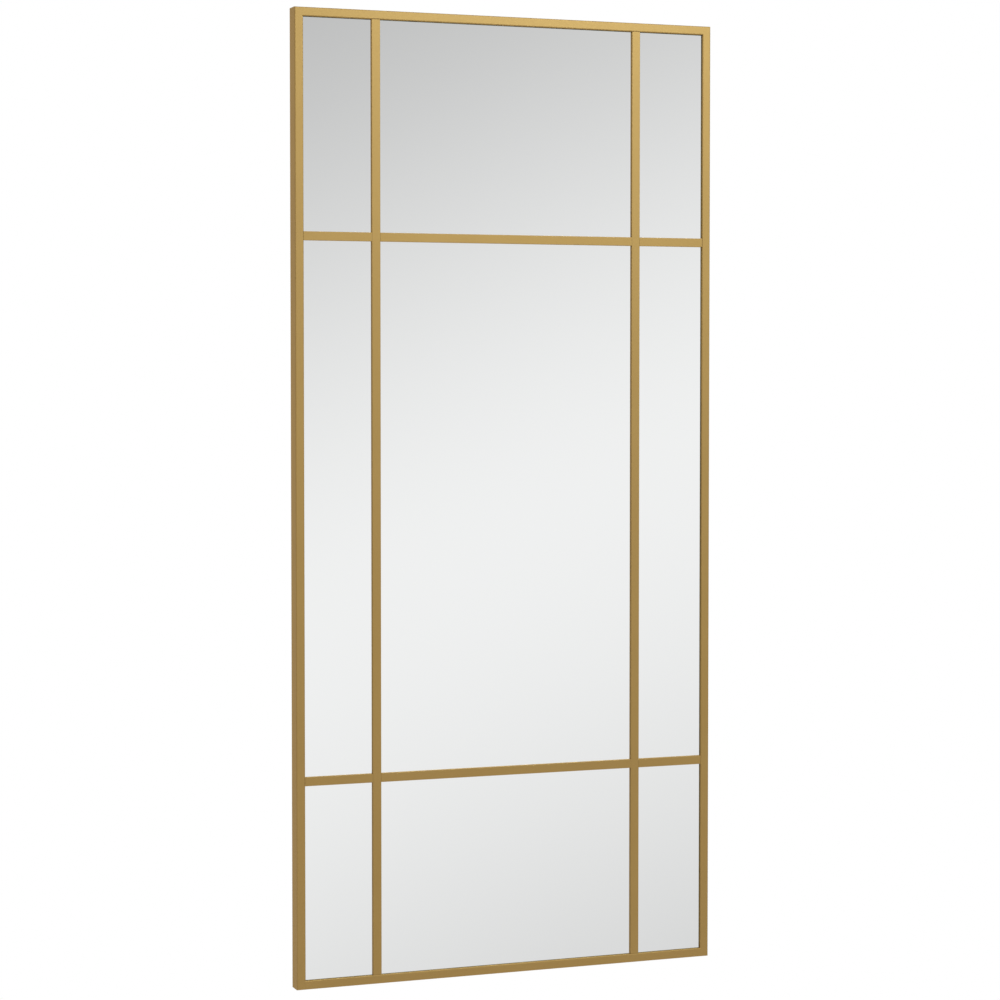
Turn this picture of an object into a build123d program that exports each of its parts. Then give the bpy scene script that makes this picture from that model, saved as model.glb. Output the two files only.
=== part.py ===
from build123d import *
import os

# Wall mirror with a grid of bars. X is to the right seen from the front, the front
# looks along -Y and +Z is up. The origin lies midway between the two keyholes that it
# hangs from, in the plane of the frame's back. All sizes are in millimetres.

# Outside of the frame
mirror_width = 508.0
mirror_height = 1100.0

# Rectangular steel tube of the frame, its narrow side to the front
tube_face = 10.0
tube_depth = 20.0
tube_wall = 1.2
tube_edge_radius = 1.2
tube_bore_radius = 0.4

# Flat bars of the grid, and the clear openings at the frame's sides, top and bottom
bar_width = 10.0
bar_thickness = 2.5
bar_edge_radius = 0.4
bar_set_back = 0.5
side_column_width = 80.0
top_row_height = 238.5
bottom_row_height = 220.0

# Silvered glass with ground edges, which lies against the backs of the bars
glass_thickness = 3.0
glass_clearance = 0.3
glass_edge_chamfer = 0.4

# Strips of foam tape between the glass and the board
tape_thickness = 1.0
tape_width = 20.0
tape_strips = 4
tape_side_margin = 30.0
tape_end_margin = 15.0

# Hardboard panel behind the glass
board_thickness = 3.0
board_clearance = 1.0

# Angle clips that hold the board, screwed to the tube's inner side
clip_thickness = 1.0
clip_length = 14.0
clip_board_leg = 10.0
clip_tube_leg = 8.0
clip_bend_radius = 0.5
clip_hole_height = 4.8
clips_per_stile = 3
clips_per_rail = 2
clip_end_distance = 130.0

# Pan-head screws of the clips
screw_radius = 1.5
screw_length = 6.0
screw_head_radius = 2.8
screw_head_height = 1.9
screw_head_chamfer = 0.9
screw_clearance = 0.05

# Corner plates with the keyholes, welded in flush with the back of the frame
plate_thickness = 2.0
plate_leg = 45.0
plate_arm = 14.0
plate_corner_radius = 3.0
keyhole_inwards = 20.0
keyhole_down = 25.0
keyhole_entry_radius = 5.0
keyhole_slot_width = 5.0
keyhole_rise = 11.0

# Rubber bumpers between the frame and the wall
bumper_height = 2.0
bumper_radius = 4.0
bumper_edge_chamfer = 1.2
bumper_end_distance = 70.0

# Planes of the frame
frame_back = 0.0
frame_front = frame_back - tube_depth
tube_middle = (frame_back + frame_front) / 2
frame_top = tube_face + keyhole_down
frame_bottom = frame_top - mirror_height
frame_middle = (frame_top + frame_bottom) / 2
frame_side = mirror_width / 2

# Clear opening between the tubes
opening_side = frame_side - tube_face
opening_top = frame_top - tube_face
opening_bottom = frame_bottom + tube_face
opening_width = 2 * opening_side
opening_height = opening_top - opening_bottom

# Layers from the front: bars, glass, tape, board
bar_middle = frame_front + bar_set_back + bar_thickness / 2
glass_front = frame_front + bar_set_back + bar_thickness
glass_back = glass_front + glass_thickness
board_front = glass_back + tape_thickness
board_back = board_front + board_thickness

# Centre lines of the grid
upright_bar_x = opening_side - side_column_width - bar_width / 2
upper_bar_z = opening_top - top_row_height - bar_width / 2
lower_bar_z = opening_bottom + bottom_row_height + bar_width / 2


def mitred_tube(length):
    """A tube along X with the frame's outer side up, cut to 45 degrees at both ends."""
    outside = RectangleRounded(tube_depth, tube_face, tube_edge_radius)
    bore = RectangleRounded(
        tube_depth - 2 * tube_wall, tube_face - 2 * tube_wall, tube_bore_radius
    )
    straight = extrude(Plane.YZ * (outside - bore), length / 2, both=True)
    half, rise = length / 2, tube_face / 2
    mitre = Polygon((-half + tube_face, -rise), (half - tube_face, -rise), (half, rise), (-half, rise))
    return straight & extrude(Plane.XZ * mitre, tube_depth, both=True)


def flat_bar(length):
    """A flat steel bar along X, its broad side to the front, with eased edges."""
    section = RectangleRounded(bar_thickness, bar_width, bar_edge_radius)
    return extrude(Plane.YZ * section, length / 2, both=True)


def upright_bar(x):
    """A full-height bar of the grid, from rail to rail."""
    return Pos(x, bar_middle, frame_middle) * Rot(0, 90, 0) * flat_bar(opening_height)


def level_bar(x_from, x_to, z):
    """A length of level bar between two uprights."""
    return Pos((x_from + x_to) / 2, bar_middle, z) * flat_bar(x_to - x_from)


def level_bars(z):
    """The three lengths of one level bar: left, middle and right."""
    near = upright_bar_x - bar_width / 2
    far = upright_bar_x + bar_width / 2
    return (
        level_bar(-opening_side, -far, z),
        level_bar(-near, near, z),
        level_bar(far, opening_side, z),
    )


def panel(clearance, thickness, front):
    """A flat panel on the bottom rail, cut a clearance short of the stiles and the top rail."""
    width = opening_width - 2 * clearance
    height = opening_height - clearance
    return Pos(0, front, opening_bottom) * Box(
        width, thickness, height, align=(Align.CENTER, Align.MIN, Align.MIN)
    )


def glass_pane():
    """The pane, which rests on the bottom rail, with every edge ground to a chamfer."""
    pane = panel(glass_clearance, glass_thickness, glass_front)
    return chamfer(pane.edges(), glass_edge_chamfer)


def tape_strip(x):
    """One upright strip of foam tape on the back of the glass."""
    height = opening_height - 2 * (glass_clearance + tape_end_margin)
    return Pos(x, glass_back + tape_thickness / 2, frame_middle) * Box(tape_width, tape_thickness, height)


def spread(count, half_span):
    """Evenly spaced places from one end of a span to the other."""
    if count == 1:
        return [0.0]
    return [half_span * (2 * i / (count - 1) - 1) for i in range(count)]


def clip_seats():
    """Where each clip stands, for each tube: at its inner side, on the board's back.

    A seat's X points away from the tube, its Y to the wall and its Z along the tube."""
    along_stile = spread(clips_per_stile, opening_height / 2 - clip_end_distance)
    along_rail = spread(clips_per_rail, opening_width / 2 - clip_end_distance)
    return {
        "left_stile": [
            Pos(-opening_side, board_back, frame_middle + z) for z in along_stile
        ],
        "right_stile": [
            Pos(opening_side, board_back, frame_middle + z) * Rot(0, 180, 0) for z in along_stile
        ],
        "top_rail": [
            Pos(x, board_back, opening_top) * Rot(0, 90, 0) for x in along_rail
        ],
        "bottom_rail": [
            Pos(x, board_back, opening_bottom) * Rot(0, -90, 0) for x in along_rail
        ],
    }


def screw_line():
    """The axis of a clip's screw, at its seat. X points out of the tube."""
    return Pos(0, clip_hole_height, 0) * Rot(0, 90, 0)


def screw_hole(length):
    """The space that a clip's screw passes through, half to each side of its seat."""
    return screw_line() * Cylinder(screw_radius + screw_clearance, length)


def angle_clip():
    """A bent steel clip: one leg on the board, one on the tube, with a screw hole."""
    board_leg = Rectangle(clip_board_leg, clip_thickness, align=Align.MIN)
    tube_leg = Rectangle(clip_thickness, clip_tube_leg, align=Align.MIN)
    section = board_leg + tube_leg
    outer_corner = section.vertices().sort_by(lambda v: v.X + v.Y)[0]
    section = fillet(outer_corner, clip_bend_radius + clip_thickness)
    inner_corner = section.vertices().sort_by_distance((clip_thickness, clip_thickness))[0]
    section = fillet(inner_corner, clip_bend_radius)
    return extrude(section, clip_length / 2, both=True) - screw_hole(4 * clip_thickness)


def clip_screw():
    """A pan-head screw, its head on the clip and its shank through the tube's wall."""
    head = Cylinder(screw_head_radius, screw_head_height, align=(Align.CENTER, Align.CENTER, Align.MIN))
    head = chamfer(head.edges().sort_by(Axis.Z)[-1], screw_head_chamfer)
    shank = Cylinder(screw_radius, screw_length, align=(Align.CENTER, Align.CENTER, Align.MAX))
    return screw_line() * Pos(0, 0, clip_thickness) * (head + shank)


def drilled(tube, seats):
    """A tube with a hole through its inner wall for each clip's screw."""
    for seat in seats:
        tube -= seat * screw_hole(3 * tube_wall)
    return tube


def hanger_plate():
    """The left corner plate: chamfered at its free corner, with a keyhole."""
    plate = Rectangle(plate_leg, plate_leg, align=(Align.MIN, Align.MAX))
    free_corner = plate.vertices().sort_by(lambda v: v.X - v.Y)[-1]
    plate = chamfer(free_corner, plate_leg - plate_arm)
    plate = fillet(plate.vertices().sort_by(lambda v: v.X - v.Y)[-2:], plate_corner_radius)
    entry = Pos(keyhole_inwards, -keyhole_down) * Circle(keyhole_entry_radius)
    slot = Pos(keyhole_inwards, -keyhole_down + keyhole_rise / 2) * SlotCenterToCenter(
        keyhole_rise, keyhole_slot_width, rotation=90
    )
    corner = Pos(-opening_side, frame_back, opening_top)
    return corner * extrude(Plane.XZ * (plate - entry - slot), plate_thickness)


def wall_bumper(x, z):
    """A round rubber bumper on the back of the frame, tapered at its rim."""
    bumper = Cylinder(bumper_radius, bumper_height, align=(Align.CENTER, Align.CENTER, Align.MIN))
    bumper = chamfer(bumper.edges().sort_by(Axis.Z)[-1], bumper_edge_chamfer)
    return Pos(x, frame_back, z) * Rot(-90, 0, 0) * bumper


# Frame
side_middle = frame_side - tube_face / 2
seats = clip_seats()
left_stile = Pos(-side_middle, tube_middle, frame_middle) * Rot(0, -90, 0) * mitred_tube(mirror_height)
right_stile = Pos(side_middle, tube_middle, frame_middle) * Rot(0, 90, 0) * mitred_tube(mirror_height)
top_rail = Pos(0, tube_middle, frame_top - tube_face / 2) * mitred_tube(mirror_width)
bottom_rail = Pos(0, tube_middle, frame_bottom + tube_face / 2) * Rot(0, 180, 0) * mitred_tube(mirror_width)

# Grid
upper_left_bar, upper_middle_bar, upper_right_bar = level_bars(upper_bar_z)
lower_left_bar, lower_middle_bar, lower_right_bar = level_bars(lower_bar_z)

# Tape, clips and screws, each a group of separate pieces
tape_half_span = opening_side - glass_clearance - tape_side_margin - tape_width / 2
tapes = [tape_strip(x) for x in spread(tape_strips, tape_half_span)]
clip = angle_clip()
screw = clip_screw()
all_seats = [seat for tube_seats in seats.values() for seat in tube_seats]

# Hanging
left_hanger_plate = hanger_plate()
bumper_zs = (frame_bottom + bumper_end_distance, frame_top - bumper_end_distance)
bumpers = [wall_bumper(x, z) for x in (-side_middle, side_middle) for z in bumper_zs]

pieces = {
    "left_stile": drilled(left_stile, seats["left_stile"]),
    "right_stile": drilled(right_stile, seats["right_stile"]),
    "top_rail": drilled(top_rail, seats["top_rail"]),
    "bottom_rail": drilled(bottom_rail, seats["bottom_rail"]),
    "left_bar": upright_bar(-upright_bar_x),
    "right_bar": upright_bar(upright_bar_x),
    "upper_left_bar": upper_left_bar,
    "upper_middle_bar": upper_middle_bar,
    "upper_right_bar": upper_right_bar,
    "lower_left_bar": lower_left_bar,
    "lower_middle_bar": lower_middle_bar,
    "lower_right_bar": lower_right_bar,
    "mirror_glass": glass_pane(),
    "foam_tape": Compound(tapes),
    "backing_board": panel(board_clearance, board_thickness, board_front),
    "board_clips": Compound([seat * clip for seat in all_seats]),
    "clip_screws": Compound([seat * screw for seat in all_seats]),
    "left_hanger_plate": left_hanger_plate,
    "right_hanger_plate": mirror(left_hanger_plate, about=Plane.YZ),
    "wall_bumpers": Compound(bumpers),
}

os.makedirs("parts", exist_ok=True)
for name, shape in pieces.items():
    export_step(shape, f"parts/{name}.step")
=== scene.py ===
import math

import bmesh
import bpy
from mathutils import Matrix, Vector


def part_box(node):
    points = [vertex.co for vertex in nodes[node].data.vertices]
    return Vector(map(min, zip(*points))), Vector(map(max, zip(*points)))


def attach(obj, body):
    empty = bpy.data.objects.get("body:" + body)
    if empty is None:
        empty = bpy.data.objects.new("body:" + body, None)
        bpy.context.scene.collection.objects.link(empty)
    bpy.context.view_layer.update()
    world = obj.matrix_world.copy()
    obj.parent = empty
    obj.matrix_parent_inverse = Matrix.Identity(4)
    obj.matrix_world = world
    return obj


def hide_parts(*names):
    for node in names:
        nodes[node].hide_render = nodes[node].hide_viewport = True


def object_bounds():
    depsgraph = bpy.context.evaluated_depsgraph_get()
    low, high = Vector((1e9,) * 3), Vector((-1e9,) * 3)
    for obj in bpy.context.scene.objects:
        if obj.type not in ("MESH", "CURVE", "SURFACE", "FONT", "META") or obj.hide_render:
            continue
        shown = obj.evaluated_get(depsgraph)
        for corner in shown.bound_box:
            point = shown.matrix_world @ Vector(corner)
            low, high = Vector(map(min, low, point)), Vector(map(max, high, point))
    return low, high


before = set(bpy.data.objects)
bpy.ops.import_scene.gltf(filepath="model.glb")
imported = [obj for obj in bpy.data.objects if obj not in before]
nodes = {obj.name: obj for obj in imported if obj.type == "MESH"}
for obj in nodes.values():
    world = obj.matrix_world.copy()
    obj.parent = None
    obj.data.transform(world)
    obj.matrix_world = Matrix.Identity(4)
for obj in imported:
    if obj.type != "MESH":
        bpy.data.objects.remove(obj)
cad_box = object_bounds()
scene = bpy.context.scene
scene.view_settings.view_transform = "Standard"


# Camera
# It stands three metres off, to the left of the mirror and a little above its middle,
# and looks slightly down. The small shift keeps its upright lines nearly parallel.
camera_place = (-1.097, -2.903, -0.366)
camera_turn = math.radians(20.65)
camera_tilt = math.radians(2.17)
camera = bpy.data.objects.new("camera", bpy.data.cameras.new("camera"))
camera.data.lens = 96.71
camera.data.shift_y = -0.03
camera.location = camera_place
camera.rotation_euler = (math.pi / 2 - camera_tilt, 0, -camera_turn)
scene.collection.objects.link(camera)
scene.camera = camera


# Room that the mirror reflects
# A plain pale studio. In front of the mirror a band of light wall slants across the view
# in the glass. It greys off above and below, and the wall lightens again higher up.
# Straight behind the mirror hangs a white backdrop, which metal and glass show there, and
# the camera sees white wherever nothing stands.
class Signal:
    """A socket in a node tree. Arithmetic on it adds the Math nodes that work it out."""

    def __init__(self, tree, socket=None):
        self.tree = tree
        self.socket = socket

    def node(self, kind, settings=None, values=None, output=0):
        """Adds a node: its settings first, then its sockets' values or links."""
        made = self.tree.nodes.new(kind)
        for name, setting in (settings or {}).items():
            if name == "stops":
                ramp = made.color_ramp
                while len(ramp.elements) < len(setting):
                    ramp.elements.new(1.0)
                for element, (place, colour) in zip(ramp.elements, setting):
                    element.position = place
                    element.color = colour
            elif name == "easing":
                made.color_ramp.interpolation = setting
            else:
                setattr(made, name, setting)
        for name, value in (values or {}).items():
            if isinstance(value, Signal):
                self.tree.links.new(value.socket, made.inputs[name])
            else:
                made.inputs[name].default_value = value
        return Signal(self.tree, made.outputs[output] if len(made.outputs) else None)

    def math(self, operation, first, second):
        """A Math node on two values, each of them a signal or a number."""
        return self.node("ShaderNodeMath", {"operation": operation}, {0: first, 1: second})

    def __add__(self, other):
        return self.math("ADD", self, other)

    def __radd__(self, other):
        return self.math("ADD", other, self)

    def __sub__(self, other):
        return self.math("SUBTRACT", self, other)

    def __rsub__(self, other):
        return self.math("SUBTRACT", other, self)

    def __mul__(self, other):
        return self.math("MULTIPLY", self, other)

    def __rmul__(self, other):
        return self.math("MULTIPLY", other, self)

    def __truediv__(self, other):
        return self.math("DIVIDE", self, other)


def grey(level):
    return (level, level, level, 1.0)


white = grey(1.0)
wall_slant = (-0.45, 0.0, 1.0)
wall_low, wall_high = -0.60, 0.60
glass_keeps = 0.905
backdrop_rim, backdrop_middle = 0.80, 1.00
wall_bands = (
    (-0.60, 0.45),
    (-0.22, 0.87),
    (0.06, 0.48),
    (0.60, 0.70),
)
studio = bpy.data.worlds.new("studio")
studio.use_nodes = True
studio.node_tree.nodes.clear()
scene.world = studio
room = Signal(studio.node_tree)
heading = room.node("ShaderNodeTexCoord", output="Generated")
height = room.node(
    "ShaderNodeVectorMath", {"operation": "DOT_PRODUCT"}, {0: heading, 1: wall_slant}, "Value"
)
wall = room.node(
    "ShaderNodeValToRGB",
    {
        "easing": "EASE",
        "stops": [
            ((at - wall_low) / (wall_high - wall_low), grey(level / glass_keeps))
            for at, level in wall_bands
        ],
    },
    {"Fac": (height - wall_low) / (wall_high - wall_low)},
)
behind = room.node(
    "ShaderNodeMapRange",
    {"interpolation_type": "SMOOTHSTEP"},
    {
        "Value": room.node("ShaderNodeSeparateXYZ", {}, {0: heading}, "Y"),
        "From Min": backdrop_rim,
        "From Max": backdrop_middle,
    },
)
direct = room.node("ShaderNodeLightPath", output="Is Camera Ray")
glossy = room.node("ShaderNodeLightPath", output="Is Glossy Ray")
through = room.node("ShaderNodeLightPath", output="Is Transmission Ray")
share = direct + (glossy + through) * behind
seen = room.node("ShaderNodeMix", {"data_type": "RGBA"}, {0: share, 6: wall, 7: white}, 2)
backdrop = room.node("ShaderNodeBackground", {}, {"Color": seen, "Strength": 1.0})
room.node("ShaderNodeOutputWorld", {}, {"Surface": backdrop})


# Floor
# Plain pale floor well below the hanging mirror. It takes the mirror's soft shadow and
# fades into the white around it before its rim.
def new_mesh(name, form):
    """A linked object from a finished bmesh, standing at the origin."""
    mesh = bpy.data.meshes.new(name)
    form.to_mesh(mesh)
    form.free()
    made = bpy.data.objects.new(name, mesh)
    scene.collection.objects.link(made)
    return made


def new_material(name):
    """An empty material and the signal that its nodes start from."""
    material = bpy.data.materials.new(name)
    material.use_nodes = True
    material.node_tree.nodes.clear()
    return material, Signal(material.node_tree)


floor_drop = 0.80
floor_radius = 2.80
floor_fade_from = 1.70
floor_clear_rim = 0.05
floor_sides = 128
floor_tone = 0.80
floor_glow = 0.50
reflected_glow = 0.12
form = bmesh.new()
bmesh.ops.create_circle(form, cap_ends=True, radius=floor_radius, segments=floor_sides)
bmesh.ops.translate(form, verts=form.verts, vec=(0, 0, cad_box[0][2] - floor_drop))
floor = new_mesh("floor", form)
floor_paint, paint = new_material("floor_paint")
spot = paint.node("ShaderNodeTexCoord", output="Object")
flat = paint.node("ShaderNodeVectorMath", {"operation": "MULTIPLY"}, {0: spot, 1: (1, 1, 0)})
away = paint.node("ShaderNodeVectorMath", {"operation": "LENGTH"}, {0: flat}, "Value")
fade = paint.node(
    "ShaderNodeMapRange",
    {"interpolation_type": "SMOOTHSTEP"},
    {"Value": away, "From Min": floor_fade_from, "From Max": floor_radius - floor_clear_rim},
)
glow = (
    paint.node("ShaderNodeLightPath", output="Is Camera Ray")
    + paint.node("ShaderNodeLightPath", output="Is Transmission Ray")
) * floor_glow + paint.node("ShaderNodeLightPath", output="Is Glossy Ray") * reflected_glow
matt = paint.node("ShaderNodeBsdfDiffuse", {}, {"Color": grey(floor_tone)})
lit = paint.node("ShaderNodeEmission", {}, {"Color": white, "Strength": glow})
ground = paint.node("ShaderNodeAddShader", {}, {0: matt, 1: lit})
clear = paint.node("ShaderNodeBsdfTransparent")
ground = paint.node("ShaderNodeMixShader", {}, {0: fade, 1: ground, 2: clear})
paint.node("ShaderNodeOutputMaterial", {}, {"Surface": ground})
floor.data.materials.append(floor_paint)


# Lamps
# A soft box above and in front of the mirror, which lights the top of the frame most,
# and a larger one behind it for the side that faces the wall.
def soft_box(name, place, aim, size, power, tint):
    lamp = bpy.data.lights.new(name, "AREA")
    lamp.shape = "DISK"
    lamp.size = size
    lamp.energy = power
    lamp.color = tint
    held = bpy.data.objects.new(name, lamp)
    held.location = place
    held.rotation_euler = (Vector(aim) - Vector(place)).to_track_quat("-Z", "Y").to_euler()
    held.visible_camera = False
    scene.collection.objects.link(held)


soft_box("front_soft_box", (0.62, -1.50, 0.62), (0, 0, -0.30), 0.60, 18.0, (0.86, 1.0, 1.05))
soft_box("back_soft_box", (0.60, 2.40, 0.60), (0, 0, -0.50), 1.80, 22.0, (1.0, 1.0, 1.0))


# Frame and grid
# Rectangular steel tube, mitred and welded at the corners, with flat bars welded in to
# make the grid. The welds are ground flush and all of it has one satin gold powder coat,
# which has metal flake in it and dries with a faint orange peel.
gold_light = (0.435, 0.277, 0.091, 1.0)
gold_deep = (0.378, 0.234, 0.074, 1.0)
gold_edge_on = (1.0, 0.84, 0.58, 1.0)
peel_size = 0.0016
flake_size = 0.00035
cloud_size = 0.060
cloud_share, sparkle_share = 0.6, 0.4
peel_height = 0.00004
satin, peel_sheen = 0.54, 0.08
powder_coat, coat = new_material("gold_powder_coat")
spot = coat.node("ShaderNodeTexCoord", output="Object")
cloud = coat.node("ShaderNodeTexNoise", {}, {"Vector": spot, "Scale": 1 / cloud_size, "Detail": 3.0})
flake = coat.node("ShaderNodeTexVoronoi", {}, {"Vector": spot, "Scale": 1 / flake_size}, "Color")
sparkle = coat.node("ShaderNodeRGBToBW", {}, {0: flake})
peel = coat.node("ShaderNodeTexNoise", {}, {"Vector": spot, "Scale": 1 / peel_size, "Detail": 2.0})
colour = coat.node(
    "ShaderNodeMix",
    {"data_type": "RGBA"},
    {0: cloud_share * cloud + sparkle_share * sparkle, 6: gold_deep, 7: gold_light},
    2,
)
skin = coat.node(
    "ShaderNodeBump",
    {},
    {"Strength": 0.35, "Distance": peel_height, "Height": peel + 0.35 * sparkle},
)
finish = coat.node(
    "ShaderNodeBsdfPrincipled",
    {},
    {
        "Base Color": colour,
        "Metallic": 0.80,
        "Roughness": satin + peel_sheen * peel,
        "IOR": 1.5,
        "Specular Tint": gold_edge_on,
        "Coat Weight": 0.10,
        "Coat Roughness": 0.35,
        "Normal": skin,
    },
)
coat.node("ShaderNodeOutputMaterial", {}, {"Surface": finish})
frame_members = (
    "left_stile", "right_stile", "top_rail", "bottom_rail",
    "left_bar", "right_bar",
    "upper_left_bar", "upper_middle_bar", "upper_right_bar",
    "lower_left_bar", "lower_middle_bar", "lower_right_bar",
)
for name in frame_members:
    nodes[name].material_slots[0].material = powder_coat


# Hanger plates and their welds
# Steel corner plates with the keyholes, let in flush with the back of the frame. Short
# runs of weld in the grooves beside the tubes' rounded edges hold them, two to a leg, and
# a run stands in each inner corner of the frame. They are coated with the frame.
def turned(outline, steps):
    """A closed body turned about Z from an outline of radii and heights, axis to axis."""
    form = bmesh.new()
    points = [form.verts.new((radius, 0, level)) for radius, level in outline]
    lines = [form.edges.new(pair) for pair in zip(points, points[1:])]
    bmesh.ops.spin(
        form,
        geom=points + lines,
        cent=(0, 0, 0),
        axis=(0, 0, 1),
        dvec=(0, 0, 0),
        angle=math.tau,
        steps=steps,
        use_merge=True,
        use_duplicate=False,
    )
    bmesh.ops.remove_doubles(form, verts=form.verts, dist=1e-7)
    bmesh.ops.recalc_face_normals(form, faces=form.faces)
    return form


def repeated(form, places):
    """The form once at each place, all in one bmesh."""
    pattern = bpy.data.meshes.new("pattern")
    form.to_mesh(pattern)
    form.free()
    whole = bmesh.new()
    for place in places:
        before = len(whole.verts)
        whole.from_mesh(pattern)
        whole.verts.ensure_lookup_table()
        bmesh.ops.transform(whole, matrix=place, verts=whole.verts[before:])
    bpy.data.meshes.remove(pattern)
    return whole


def smooth_shaded(piece, crease):
    """Shades the piece smooth, with an edge wherever it turns by more than the crease."""
    piece.data.shade_smooth()
    piece.data.set_sharp_from_angle(angle=math.radians(crease))
    return piece


opening_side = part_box("right_stile")[0].x
opening_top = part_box("left_hanger_plate")[1].z
opening_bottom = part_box("mirror_glass")[0].z
board_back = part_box("backing_board")[1].y
weld_length = 0.0130
weld_radius = 0.0009
weld_ripple = 0.0011
weld_depth = 0.0004
weld_from_corner = (0.0110, 0.0335)
weld_sides = 12
ripple_height = 0.10
end_fullness = 8
flattened_to = 0.75
corner_weld_share = 0.55
rings = 52
outline = [(0.0, -weld_length / 2)]
for ring in range(1, rings):
    along = 2 * ring / rings - 1
    swell = math.sqrt(1 - along**end_fullness)
    ripple = 1 + ripple_height * math.cos(math.tau * along * weld_length / 2 / weld_ripple)
    outline.append((weld_radius * swell * ripple, along * weld_length / 2))
outline.append((0.0, weld_length / 2))
upright = Matrix.Diagonal((1.0, flattened_to, 1.0, 1.0))
level = Matrix.Rotation(math.pi / 2, 4, "Y")
inward = Matrix.Rotation(-math.pi / 2, 4, "X")
shorter = Matrix.Diagonal((1.0, 1.0, corner_weld_share, 1.0))
places = []
for side in (-1, 1):
    for away in weld_from_corner:
        beside_stile = (side * (opening_side + weld_depth), -weld_depth, opening_top - away)
        beside_rail = (side * (opening_side - away), -weld_depth, opening_top + weld_depth)
        places.append(Matrix.Translation(beside_stile) @ upright)
        places.append(Matrix.Translation(beside_rail) @ upright @ level)
    for corner in (opening_top - weld_depth / 2, opening_bottom + weld_depth / 2):
        in_corner = (side * (opening_side - weld_depth / 2), board_back / 2, corner)
        places.append(Matrix.Translation(in_corner) @ inward @ shorter)
one_weld = turned(outline, weld_sides)
welds = smooth_shaded(new_mesh("frame_welds", repeated(one_weld, places)), 60)
welds.data.materials.append(powder_coat)
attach(welds, "root")
for name in ("left_hanger_plate", "right_hanger_plate"):
    nodes[name].material_slots[0].material = powder_coat


# Mirror glass
# One pane of 3 mm float glass held against the backs of the bars. It reflects over its
# whole face, its ground edges are the green of clear glass, and grey paint seals its back.
silver_tone = (0.900, 0.908, 0.906, 1.0)
edge_green = (0.260, 0.420, 0.350, 1.0)
seal_grey = (0.240, 0.245, 0.250, 1.0)
glass_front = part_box("mirror_glass")[0].y
glass_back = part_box("mirror_glass")[1].y
skin_depth = 0.0001
polish_scale, grind_scale = 9.0, 900.0
silvered_glass, pane = new_material("silvered_glass")
spot = pane.node("ShaderNodeTexCoord", output="Object")
depth = pane.node("ShaderNodeSeparateXYZ", {}, {0: spot}, "Y")
polish = pane.node("ShaderNodeTexNoise", {}, {"Vector": spot, "Scale": polish_scale, "Detail": 4.0})
grind = pane.node("ShaderNodeTexNoise", {}, {"Vector": spot, "Scale": grind_scale, "Detail": 2.0})
in_front = pane.math("LESS_THAN", depth, glass_front + skin_depth)
behind = pane.math("GREATER_THAN", depth, glass_back - skin_depth)
rim = pane.node("ShaderNodeMix", {"data_type": "RGBA"}, {0: behind, 6: edge_green, 7: seal_grey}, 2)
colour = pane.node("ShaderNodeMix", {"data_type": "RGBA"}, {0: in_front, 6: rim, 7: silver_tone}, 2)
finish = pane.node(
    "ShaderNodeBsdfPrincipled",
    {},
    {
        "Base Color": colour,
        "Metallic": in_front,
        "Roughness": in_front * (0.006 * polish) + (1 - in_front) * (0.30 + 0.25 * grind),
    },
)
pane.node("ShaderNodeOutputMaterial", {}, {"Surface": finish})
nodes["mirror_glass"].material_slots[0].material = silvered_glass


# Foam tape
# Four upright strips of white closed-cell foam tape that bed the glass on the board.
foam_white = (0.82, 0.82, 0.80, 1.0)
foam_painted_pore_shade = (0.70, 0.70, 0.67, 1.0)
cell_size = 0.0007
cell_foam, foam = new_material("white_foam")
spot = foam.node("ShaderNodeTexCoord", output="Object")
cells = foam.node("ShaderNodeTexVoronoi", {}, {"Vector": spot, "Scale": 1 / cell_size}, "Distance")
# Painted shade: the foam is coloured darker towards the cell borders, which the bump below sets low.
colour = foam.node("ShaderNodeMix", {"data_type": "RGBA"}, {0: cells, 6: foam_white, 7: foam_painted_pore_shade}, 2)
pores = foam.node("ShaderNodeBump", {}, {"Strength": 0.6, "Distance": 0.0002, "Height": 1 - cells})
finish = foam.node(
    "ShaderNodeBsdfPrincipled", {}, {"Base Color": colour, "Roughness": 0.85, "Normal": pores}
)
foam.node("ShaderNodeOutputMaterial", {}, {"Surface": finish})
nodes["foam_tape"].material_slots[0].material = cell_foam


# Backing board
# Brown hardboard of pressed wood fibre, its smooth face out, cut a little smaller than
# the opening. It shows matted fibres, darker flecks and a faint sheen from the press.
board_light = (0.340, 0.212, 0.118, 1.0)
board_deep = (0.225, 0.133, 0.070, 1.0)
fleck_brown = (0.105, 0.060, 0.032, 1.0)
mat_scale, tone_scale, chip_scale = 420.0, 14.0, 260.0
mat_share, tone_share = 0.55, 0.45
fleck_from, fleck_full = 0.66, 0.74
hardboard, fibre = new_material("hardboard")
spot = fibre.node("ShaderNodeTexCoord", output="Object")
mat = fibre.node(
    "ShaderNodeTexNoise",
    {},
    {"Vector": spot, "Scale": mat_scale, "Detail": 6.0, "Roughness": 0.65, "Distortion": 1.2},
)
tone = fibre.node("ShaderNodeTexNoise", {}, {"Vector": spot, "Scale": tone_scale, "Detail": 4.0})
chip = fibre.node(
    "ShaderNodeTexNoise", {}, {"Vector": spot, "Scale": chip_scale, "Detail": 2.0, "Distortion": 2.5}
)
fleck = fibre.node(
    "ShaderNodeValToRGB",
    {"easing": "EASE", "stops": [(fleck_from, grey(0.0)), (fleck_full, grey(1.0))]},
    {"Fac": chip},
)
ground = fibre.node(
    "ShaderNodeMix",
    {"data_type": "RGBA"},
    {0: mat_share * mat + tone_share * tone, 6: board_deep, 7: board_light},
    2,
)
colour = fibre.node("ShaderNodeMix", {"data_type": "RGBA"}, {0: fleck, 6: ground, 7: fleck_brown}, 2)
felt = fibre.node("ShaderNodeBump", {}, {"Strength": 0.5, "Distance": 0.00015, "Height": mat})
finish = fibre.node(
    "ShaderNodeBsdfPrincipled",
    {},
    {"Base Color": colour, "Roughness": 0.46 + 0.20 * mat, "Normal": felt},
)
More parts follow.
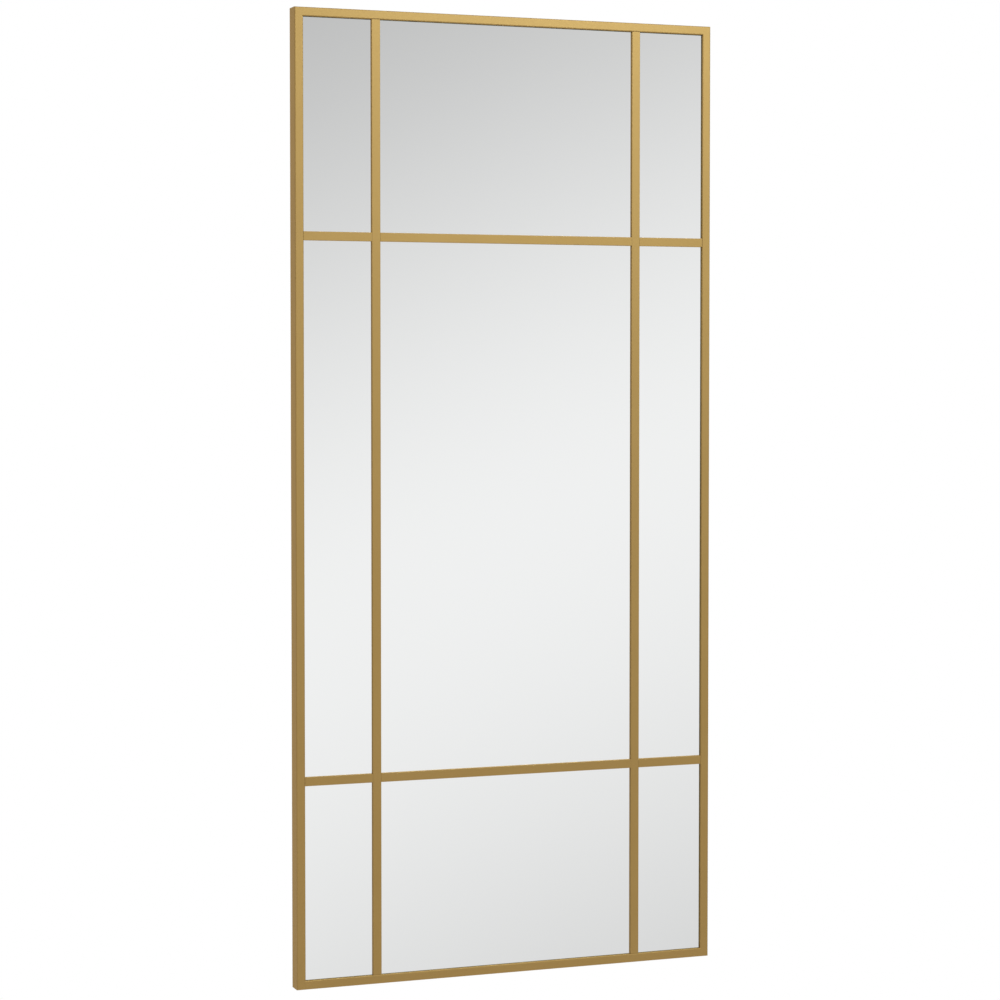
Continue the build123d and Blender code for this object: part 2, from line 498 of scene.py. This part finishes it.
fibre.node("ShaderNodeOutputMaterial", {}, {"Surface": finish})
nodes["backing_board"].material_slots[0].material = hardboard


# Board clips
# Small angles folded from 1 mm steel strip, bright zinc plated after bending, with the
# fine rolling lines of the strip under the plate.
zinc_light = (0.680, 0.690, 0.700, 1.0)
zinc_deep = (0.540, 0.555, 0.575, 1.0)
bloom_scale = 160.0
line_scale = (5200.0, 5200.0, 260.0)
zinc_plate, plate = new_material("zinc_plate")
spot = plate.node("ShaderNodeTexCoord", output="Object")
bloom = plate.node("ShaderNodeTexNoise", {}, {"Vector": spot, "Scale": bloom_scale, "Detail": 3.0})
strip = plate.node("ShaderNodeMapping", {}, {"Vector": spot, "Scale": line_scale})
lines = plate.node("ShaderNodeTexNoise", {}, {"Vector": strip, "Scale": 1.0, "Detail": 3.0})
colour = plate.node("ShaderNodeMix", {"data_type": "RGBA"}, {0: bloom, 6: zinc_deep, 7: zinc_light}, 2)
rolled = plate.node("ShaderNodeBump", {}, {"Strength": 0.25, "Distance": 0.00003, "Height": lines})
finish = plate.node(
    "ShaderNodeBsdfPrincipled",
    {},
    {
        "Base Color": colour,
        "Metallic": 1.0,
        "Roughness": 0.24 + 0.12 * bloom + 0.06 * lines,
        "Normal": rolled,
    },
)
plate.node("ShaderNodeOutputMaterial", {}, {"Surface": finish})
nodes["board_clips"].material_slots[0].material = zinc_plate


# Clip screws
# Pan-head self-tapping screws of zinc plated steel with a cross recess. Each holds its
# clip to the inner side of a tube, the thread cut into the tube's wall.
head_radius = 0.0028
head_height = 0.0019
shank_length = 0.0060
thread_crest = 0.00148
thread_root = 0.00112
thread_pitch = 0.0007
clip_thickness = 0.0010
clip_hole_level = 0.0048
stile_clips = (-0.925, -0.515, -0.105)
rail_clips = (-0.114, 0.114)
screw_sides = 32
turn_between_screws = 0.7
slot_length, slot_width, slot_depth, slot_foot = 0.0030, 0.0006, 0.0012, 0.45


def driver_slot(turn):
    """One arm of the cross recess: a wedge that narrows towards its foot."""
    form = bmesh.new()
    bmesh.ops.create_cube(form, size=1.0)
    bmesh.ops.scale(form, verts=form.verts, vec=(slot_length, slot_width, 2 * slot_depth))
    foot = [corner for corner in form.verts if corner.co.z < 0]
    bmesh.ops.scale(form, verts=foot, vec=(slot_foot, 0.8, 1.0))
    place = Matrix.Translation((0, 0, head_height)) @ Matrix.Rotation(turn, 4, "Z")
    bmesh.ops.transform(form, matrix=place, verts=form.verts)
    return form


def carved(form, tools):
    """The form with the shape of each tool cut out of it."""
    blank = new_mesh("blank", form)
    cutters = [new_mesh("cutter", tool) for tool in tools]
    for cutter in cutters:
        cut = blank.modifiers.new("cut", "BOOLEAN")
        cut.operation = "DIFFERENCE"
        cut.solver = "EXACT"
        cut.object = cutter
    solved = blank.evaluated_get(bpy.context.evaluated_depsgraph_get())
    mesh = bpy.data.meshes.new_from_object(solved)
    result = bmesh.new()
    result.from_mesh(mesh)
    for spent in (blank, *cutters):
        bpy.data.meshes.remove(spent.data)
    bpy.data.meshes.remove(mesh)
    return result


outline = [(0.0, -shank_length), (0.0005, -shank_length + 0.0003)]
turn_level = -shank_length + 0.0009
while turn_level < -0.0008:
    outline.append((thread_root, turn_level))
    outline.append((thread_crest, turn_level + 0.45 * thread_pitch))
    outline.append((thread_crest, turn_level + 0.55 * thread_pitch))
    turn_level += thread_pitch
outline += [
    (thread_root, -0.0003), (0.0013, 0.0), (0.0026, 0.0), (head_radius, 0.0002),
    (head_radius, 0.0008), (0.00272, 0.00115), (0.00250, 0.00146), (0.00205, 0.00170),
    (0.00130, 0.00184), (0.00060, 0.00189), (0.0, head_height),
]
cross = [driver_slot(0.0), driver_slot(math.pi / 2)]
one_screw = carved(turned(outline, screw_sides), cross)
screw_level = board_back + clip_hole_level
seats = []
for at in stile_clips:
    seats.append(((-opening_side, screw_level, at), (1, 0, 0)))
    seats.append(((opening_side, screw_level, at), (-1, 0, 0)))
for at in rail_clips:
    seats.append(((at, screw_level, opening_top), (0, 0, -1)))
    seats.append(((at, screw_level, opening_bottom), (0, 0, 1)))
places = []
for count, (seat, outwards) in enumerate(seats):
    outwards = Vector(outwards)
    stand = outwards.to_track_quat("Z", "Y").to_matrix().to_4x4()
    driven = Matrix.Rotation(turn_between_screws * count, 4, "Z")
    places.append(Matrix.Translation(Vector(seat) + outwards * clip_thickness) @ stand @ driven)
screws = smooth_shaded(new_mesh("pan_head_screws", repeated(one_screw, places)), 35)
screws.data.materials.append(zinc_plate)
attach(screws, "root")
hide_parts("clip_screws")


# Wall bumpers
# Four domed bumpers of matt black rubber, stuck to the back of the stiles, which keep
# the frame off the wall. They are moulded, with a thin rim where they meet the frame.
bumper_places = ((-0.249, -0.995), (-0.249, -0.035), (0.249, -0.995), (0.249, -0.035))
rubber_black = (0.045, 0.045, 0.045, 1.0)
rubber_dusty = (0.075, 0.074, 0.072, 1.0)
dust_scale = 700.0
bumper_sides = 40
black_rubber, rubber = new_material("black_rubber")
spot = rubber.node("ShaderNodeTexCoord", output="Object")
dust = rubber.node("ShaderNodeTexNoise", {}, {"Vector": spot, "Scale": dust_scale, "Detail": 4.0})
colour = rubber.node(
    "ShaderNodeMix", {"data_type": "RGBA"}, {0: dust, 6: rubber_black, 7: rubber_dusty}, 2
)
grain = rubber.node("ShaderNodeBump", {}, {"Strength": 0.4, "Distance": 0.00005, "Height": dust})
finish = rubber.node(
    "ShaderNodeBsdfPrincipled",
    {},
    {"Base Color": colour, "Roughness": 0.52 + 0.20 * dust, "Normal": grain},
)
rubber.node("ShaderNodeOutputMaterial", {}, {"Surface": finish})
outline = [
    (0.0, 0.0), (0.0040, 0.0), (0.0040, 0.00025), (0.00385, 0.00035), (0.00375, 0.00070),
    (0.00350, 0.00115), (0.00310, 0.00150), (0.00250, 0.00176), (0.00170, 0.00192),
    (0.00085, 0.00199), (0.0, 0.0020),
]
places = [Matrix.Translation((x, 0, z)) @ inward for x, z in bumper_places]
one_bumper = turned(outline, bumper_sides)
bumpers = smooth_shaded(new_mesh("domed_bumpers", repeated(one_bumper, places)), 50)
bumpers.data.materials.append(black_rubber)
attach(bumpers, "root")
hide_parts("wall_bumpers")
